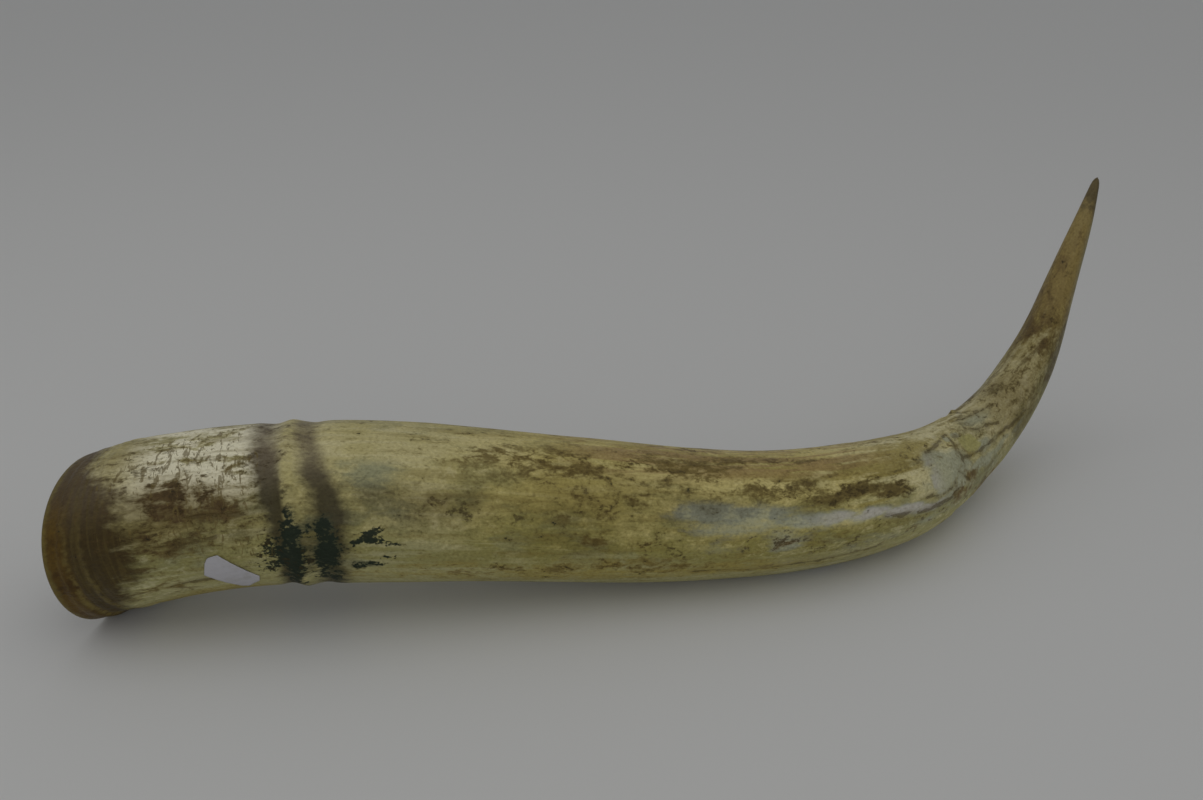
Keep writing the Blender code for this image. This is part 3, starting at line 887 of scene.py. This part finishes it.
def lay_ground(sh):
    """Cream on top with a painted highlight near the open end, olive with painted shade down the side, paler
    olive with painted bounce light underneath, greyer in places. Returns where the pale top is.
    """
    sh.lay(sh.step(sh.wash, 0.38, 0.62), STRAW)
    painted_side_shade = sh.add_grains(sh.low, (sh.broad, 1.2), (sh.ragged, 0.45))
    # Olive down the side: partly the horn's own olive, partly painted shade where the side turns away from
    # the light.
    sh.lay(sh.step(painted_side_shade, 0.02, 0.50, 0.0, 0.95), SHADED_OLIVE)
    on_top = sh.times(sh.between(0.040, 0.072, 0.118, 0.150), sh.step(sh.low, 0.30, 0.12))
    on_top = sh.times(on_top, sh.step(sh.cloud, 0.66, 0.48))
    # Pale cream on the top near the open end, brightened with a painted highlight.
    sh.lay(on_top, LIT_PALE_TOP, 0.90)
    sage = sh.times(sh.step(sh.broad, 0.49, 0.62), sh.step(sh.low, 0.15, 0.5, 0.30, 1.0))
    sh.lay(sh.times(sage, sh.step(sh.low, 0.95, 0.7)), SAGE, 0.55)
    # Paler olive underneath: painted bounce light from the floor over the horn's olive.
    sh.lay(sh.step(sh.add_grains(sh.low, (sh.cloud, 0.3)), 0.54, 0.76, 0.0, 0.72), BOUNCE_LIT_OLIVE)
    return on_top


def lay_fibres(sh, on_top):
    """Fibres, thin worn layers and golden places all along the horn."""
    flaky_mark = sh.number("flaky")
    sh.lay(sh.step(sh.streak, 0.50, 0.66, 0.0, 0.40), TAN)
    sh.lay(sh.step(sh.streak, 0.48, 0.36, 0.0, 0.16), PALE)
    share = sh.math("ADD", sh.times(flaky_mark, 0.26), 0.12)
    sh.lay(sh.cover(sh.math("SUBTRACT", 1.0, sh.ragged), share, 0.30), PALE, 0.26)
    warm = sh.times(sh.between(0.22, 0.32, 0.52, 0.61), sh.step(sh.low, 0.80, 0.45))
    sh.lay(warm, WARM_DEEP, kind="MULTIPLY")
    gold = sh.add_grains(sh.number("gold"), (sh.streak, 1.2), (sh.ragged, 0.8))
    sh.lay(sh.step(gold, 0.16, 0.66, 0.0, 0.86), GOLD)
    share = sh.math("ADD", sh.times(flaky_mark, 0.34), 0.30)
    sh.lay(sh.times(sh.cover(sh.ragged, share, 0.60), 0.66, sh.step(on_top, 0.0, 1.0, 1.0, 0.45)), TAN)

    # Rusty streaks along the top between the ring and the bend.
    rust = sh.times(sh.between(0.30, 0.38, 0.53, 0.60), sh.step(sh.low, 0.10, 0.015))
    rust = sh.times(rust, sh.step(sh.add_grains(sh.streak, (sh.broad, 0.5)), 0.40, 0.54))
    sh.lay(rust, RUST, 0.72)


def lay_chalk(sh):
    """Chalky and bluish patches, and the smooth plate at the bend. Returns where the chalk is."""
    white = sh.add_grains(sh.number("white"), (sh.streak, 0.6), (sh.cloud, 0.9))
    chalk = sh.step(white, 0.20, 0.70)
    bluer = sh.times(sh.step(sh.cloud, 0.40, 0.58), sh.step(sh.s, 0.62, 0.58, 0.25, 1.0))
    tone = sh.mix(bluer, CHALK, BLUE_GREY)
    tone = sh.mix(sh.step(sh.s, 0.34, 0.28), tone, SAGE)
    tone = sh.mix(sh.times(sh.cover(sh.second, 0.22, 0.5), sh.step(sh.s, 0.58, 0.62)), tone, TAN)
    sh.lay(chalk, tone, 0.86)
    lilac = sh.times(sh.step(white, 0.42, 0.80), sh.between(0.49, 0.54, 0.600, 0.624))
    sh.lay(lilac, LILAC_GREY, 0.85)
    sh.lay(sh.plate, PLATE, 0.90)
    return chalk


def lay_mottles(sh):
    """Brown mottling: a soft halo, ragged flakes and a darker heart."""
    soil = sh.math("ADD", sh.number("brown"), 0.08)
    soil = sh.math("SUBTRACT", soil, sh.times(sh.plate, 0.6))
    sh.lay(sh.cover(sh.cloud, sh.times(soil, 1.30), 1.00), TAN, 0.86)
    tone = sh.mix(sh.step(sh.wash, 0.45, 0.57), BROWN, RED_BROWN)
    tone = sh.mix(sh.between(0.23, 0.30, 0.45, 0.50), tone, TAWNY)
    tone = sh.mix(sh.step(sh.s, 0.72, 0.78, 0.0, 0.75), tone, LIGHT_TAWNY)
    body = sh.add_grains(sh.ragged, (sh.broad, 0.9))
    sh.lay(sh.cover(body, sh.times(soil, 1.05), 0.90), tone, 0.86)
    heart = sh.cover(sh.second, sh.times(soil, 0.34), 0.60)
    depth = sh.times(sh.step(sh.s, 0.80, 0.72, 0.35, 1.0), sh.step(sh.s, 0.26, 0.19, 0.62, 1.0))
    sh.lay(sh.times(heart, depth), DARK_BROWN, 0.66)


def lay_point(sh):
    """Golden brown towards the point, greener on the outer side."""
    tip_at = sh.add_grains(sh.s, (sh.cloud, 0.16), (sh.streak, 0.05))
    outer_side = sh.add_grains(sh.low, (sh.streak, 0.5), (sh.cloud, 0.5))
    tone = sh.mix(sh.step(outer_side, 0.15, 0.70, 0.0, 0.90), TIP_GOLD, TIP_GREEN)
    tone = sh.mix(sh.times(sh.cover(sh.cloud, 0.45, 0.8), 0.8), tone, RED_BROWN)
    tone = sh.mix(sh.times(sh.cover(sh.streak, 0.24, 0.3), sh.step(sh.s, 0.90, 0.84), 0.6), tone, CREAM)
    sh.lay(sh.step(tip_at, 0.815, 0.875), tone, 0.88)


def lay_depth(sh):
    """Deeper colour over broad places, and painted bounce light on the lower side of the bend."""
    deep = sh.add_grains(sh.number("deep"), (sh.cloud, 0.9))
    sh.lay(sh.step(deep, 0.05, 1.05), DEEPER, kind="MULTIPLY")
    # Painted bounce light from the floor on the lower side of the bend.
    bounce_light = sh.times(sh.between(0.54, 0.63, 0.73, 0.80), sh.step(sh.low, 0.42, 0.62))
    sh.lay(bounce_light, BEND_BOUNCE_LIGHT, kind="MULTIPLY")


def lay_open_end(sh):
    """Brown open end: dark block, greyer on top, amber at the rim, and pale arcs."""
    base = sh.add_grains(sh.number("base"), (sh.ragged, 1.6), (sh.broad, 1.2))
    tone = sh.mix(sh.step(sh.low, 0.10, 0.34), END_GREY, END_BROWN)
    tone = sh.mix(sh.step(sh.grain("layers"), 0.44, 0.66, 0.0, 0.70), tone, END_LAYER)
    tone = sh.mix(sh.times(sh.cover(sh.ragged, 0.26, 0.5), 0.40), tone, RED_BROWN)
    sh.lay(sh.step(base, -0.62, 0.80), tone, 0.96)
    rim_at = sh.add_grains(sh.s, (sh.broad, 0.018), (sh.mottle, 0.010))
    rim = sh.times(sh.step(rim_at, 0.026, 0.012), sh.step(sh.low, 0.02, 0.26, 0.25, 1.0))
    sh.lay(rim, sh.mix(sh.step(sh.broad, 0.40, 0.60), AMBER, LIGHT_AMBER), 0.94)
    lip_at = sh.add_grains(sh.s, (sh.broad, 0.010), (sh.mottle, 0.006))
    sh.lay(sh.step(lip_at, 0.0066, 0.0020), LIP_OLIVE, 0.60)
    for at, breadth, strength in BASE_ARCS:
        off = sh.math("ABSOLUTE", sh.math("SUBTRACT", sh.add_grains(sh.s, (sh.broad, 0.014)), at))
        arc = sh.times(sh.step(off, breadth, 0.0002), sh.low, sh.step(sh.mottle, 0.36, 0.56))
        sh.lay(arc, TAN, strength)


def lay_bands(sh):
    """Dark bands beside the pale ring, green-black stains. Returns where the stains are."""
    bands = sh.add_grains(sh.number("band"), (sh.ragged, 0.6), (sh.broad, 0.9))
    tone = sh.mix(sh.number("dark_ring"), GREY_BROWN, BAND_OLIVE)
    sh.lay(sh.step(bands, 0.0, 1.10), tone, 0.95)
    ring = sh.step(sh.math("ABSOLUTE", sh.number("ring")), *RING_HALF_MM)
    sh.lay(sh.times(ring, sh.step(sh.ragged, 0.58, 0.42)), STRAW, 0.55)
    green_mark = sh.number("green")
    sh.lay(sh.cover(sh.cloud, sh.times(green_mark, 1.4), 0.7), GREEN_TINT, 0.82)
    green = sh.add_grains(green_mark, (sh.second, 1.5), (sh.grit, 1.3))
    stain = sh.step(green, 0.42, 0.66)
    sh.lay(stain, GREEN_BLACK, 0.95)

    # Darker at the very point.
    sh.lay(sh.step(sh.add_grains(sh.s, (sh.mottle, 0.04)), 0.955, 0.978, 0.0, 0.70), POINT_DARK)
    return stain


def lay_flecks(sh):
    """Dark flecks and fine upright ones near the open end."""
    quiet = sh.math("SUBTRACT", 1.0, sh.plate)
    share = sh.math("SUBTRACT", sh.times(sh.fleck_mark, 0.28), 0.02)
    fleck = sh.times(sh.cover(sh.second, share, 0.14), sh.step(sh.grit, 0.36, 0.50), quiet)
    sh.lay(sh.times(fleck, sh.step(sh.s, 0.110, 0.150, 0.55, 1.0)), DARK_BROWN, 0.56)
    near_end = sh.times(sh.step(sh.s, 0.150, 0.110), sh.fleck_mark)
    sh.lay(sh.cover(sh.grain("upright"), sh.times(near_end, 0.36), 0.16), BROWN, 0.70)


def lay_cracks(sh):
    """Short hair cracks and the drawn cracks. Returns where each kind is."""
    quiet = sh.math("SUBTRACT", 1.0, sh.plate)
    thin = sh.step(sh.math("ABSOLUTE", sh.math("SUBTRACT", sh.flake, 0.52)), 0.013, 0.002)
    hair = sh.times(thin, sh.cover(sh.mottle, sh.times(sh.fleck_mark, 0.66), 0.3), quiet)
    sh.lay(hair, BROWN, 0.38)
    crack_off = sh.add_grains(sh.number("crack"), (sh.grit, 2.6), (sh.flake, 12.0))
    crack = sh.step(crack_off, 0.95, 0.0)
    sh.lay(crack, DARK_BROWN, 0.62)
    sh.lay(sh.step(sh.add_grains(crack_off, (sh.ragged, 8.0)), 3.4, 0.4), BROWN, 0.34)
    return hair, crack


def horn_material():
    """Polished keratin, duller where it flakes or is stained."""
    sh = HornShader()
    on_top = lay_ground(sh)
    lay_fibres(sh, on_top)
    chalk = lay_chalk(sh)
    lay_mottles(sh)
    lay_point(sh)
    lay_depth(sh)
    lay_open_end(sh)
    stain = lay_bands(sh)
    lay_flecks(sh)
    hair, crack = lay_cracks(sh)
    sh.lay(sh.step(sh.grit, 0.52, 0.68), GRIT_DARK, kind="MULTIPLY")
    sh.lay(sh.step(sh.grit, 0.48, 0.34), GRIT_LIGHT, kind="MULTIPLY")
    rough = sh.step(sh.mottle, 0.30, 0.70, 0.38, 0.54)
    rough = sh.math("ADD", rough, sh.times(chalk, 0.14))
    rough = sh.math("ADD", rough, sh.times(stain, 0.12))
    height = sh.math("ADD", sh.times(sh.grit, 0.20), sh.times(sh.ragged, 0.50))
    height = sh.math("ADD", height, sh.times(sh.streak, 0.30))
    height = sh.math("SUBTRACT", height, sh.times(hair, 0.25))
    height = sh.math("SUBTRACT", height, sh.times(crack, 0.40))
    sh.main.inputs["IOR"].default_value = 1.50
    sh.main.inputs["Specular IOR Level"].default_value = 0.22
    return sh.complete(sh.colour, rough, height, 0.75, 0.0014)


def hollow_material():
    """Dull brown inside of the sheath, ribbed along its length."""
    sh = Shader("horn_hollow")
    ribs = sh.grain("hollow_ribs")
    rings = sh.grain("hollow_rings")
    colour = sh.mix(sh.step(ribs, 0.34, 0.68), HOLLOW_BROWN, HOLLOW_PALE)
    colour = sh.mix(sh.step(rings, 0.46, 0.66, 0.0, 0.45), colour, HOLLOW_RING)
    colour = sh.mix(sh.step(sh.grain("hollow_blots"), 0.48, 0.62, 0.0, 0.75), colour, HOLLOW_BLOT)
    rough = sh.step(ribs, 0.3, 0.7, 0.62, 0.85)
    height = sh.math("ADD", sh.times(ribs, 0.6), rings)
    return sh.complete(colour, rough, height, 0.7, 0.0012)


def paper_material():
    """White paper with fibres and a little grime, greyed all over by painted shade."""
    sh = Shader("label_paper")
    coordinates = sh.node("ShaderNodeTexCoord").outputs["Object"]
    fibre = sh.noise(sh.stretch(coordinates, (900.0, 900.0, 900.0)), 4.0, 0.6)
    grime = sh.noise(sh.stretch(coordinates, (70.0, 70.0, 70.0)), 5.0, 0.6)
    # The white paper is greyed by painted shade.
    colour = sh.mix(sh.step(grime, 0.48, 0.70, 0.0, 0.5), SHADED_PAPER, PAPER_GRIME)
    return sh.complete(colour, sh.step(fibre, 0.3, 0.7, 0.60, 0.80), fibre, 0.25, 0.0002)


def floor_material():
    sh = Shader("pale_floor")
    sh.main.inputs["Base Color"].default_value = FLOOR_GREY
    sh.main.inputs["Roughness"].default_value = 0.75
    sh.main.inputs["Specular IOR Level"].default_value = 0.25
    return sh.made


# Floor, light and camera.

def build_floor():
    corners = [(x * FLOOR_HALF, y * FLOOR_HALF, FLOOR_Z) for x, y in ((-1, -1), (1, -1), (1, 1), (-1, 1))]
    mesh = bpy.data.meshes.new("floor")
    mesh.from_pydata(corners, [], [(0, 1, 2, 3)])
    floor = bpy.data.objects.new("floor", mesh)
    bpy.context.scene.collection.objects.link(floor)
    floor.data.materials.append(floor_material())


def area_light(name, at, towards, size, watts, colour):
    data = bpy.data.lights.new(name, "AREA")
    data.shape = "DISK"
    data.size = size
    data.energy = watts
    data.color = colour
    lamp = bpy.data.objects.new(name, data)
    lamp.location = at
    lamp.rotation_euler = (Vector(towards) - Vector(at)).to_track_quat("-Z", "Y").to_euler()
    bpy.context.scene.collection.objects.link(lamp)


def build_light():
    world = bpy.data.worlds.new("tent")
    world.use_nodes = True
    sky = world.node_tree.nodes["Background"]
    sky.inputs["Color"].default_value = SKY_COLOUR
    sky.inputs["Strength"].default_value = SKY_STRENGTH
    bpy.context.scene.world = world
    for lamp in LAMPS:
        area_light(*lamp)


def build_camera():
    data = bpy.data.cameras.new("camera")
    data.sensor_width = SENSOR_MM
    data.lens = SENSOR_MM * FOCAL_PIXELS / PICTURE_WIDTH
    data.clip_start = 0.02
    camera = bpy.data.objects.new("camera", data)
    camera.location = CAMERA_AT
    camera.rotation_euler = (math.pi / 2.0 - CAMERA_DOWN, 0.0, 0.0)
    bpy.context.scene.collection.objects.link(camera)
    bpy.context.scene.camera = camera


horn = build_horn()
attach(horn, "root")
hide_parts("horn")
sticker = build_label()
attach(sticker, "root")
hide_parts("paper_label")
build_floor()
build_light()
build_camera()
bpy.context.scene.view_settings.view_transform = "Standard"
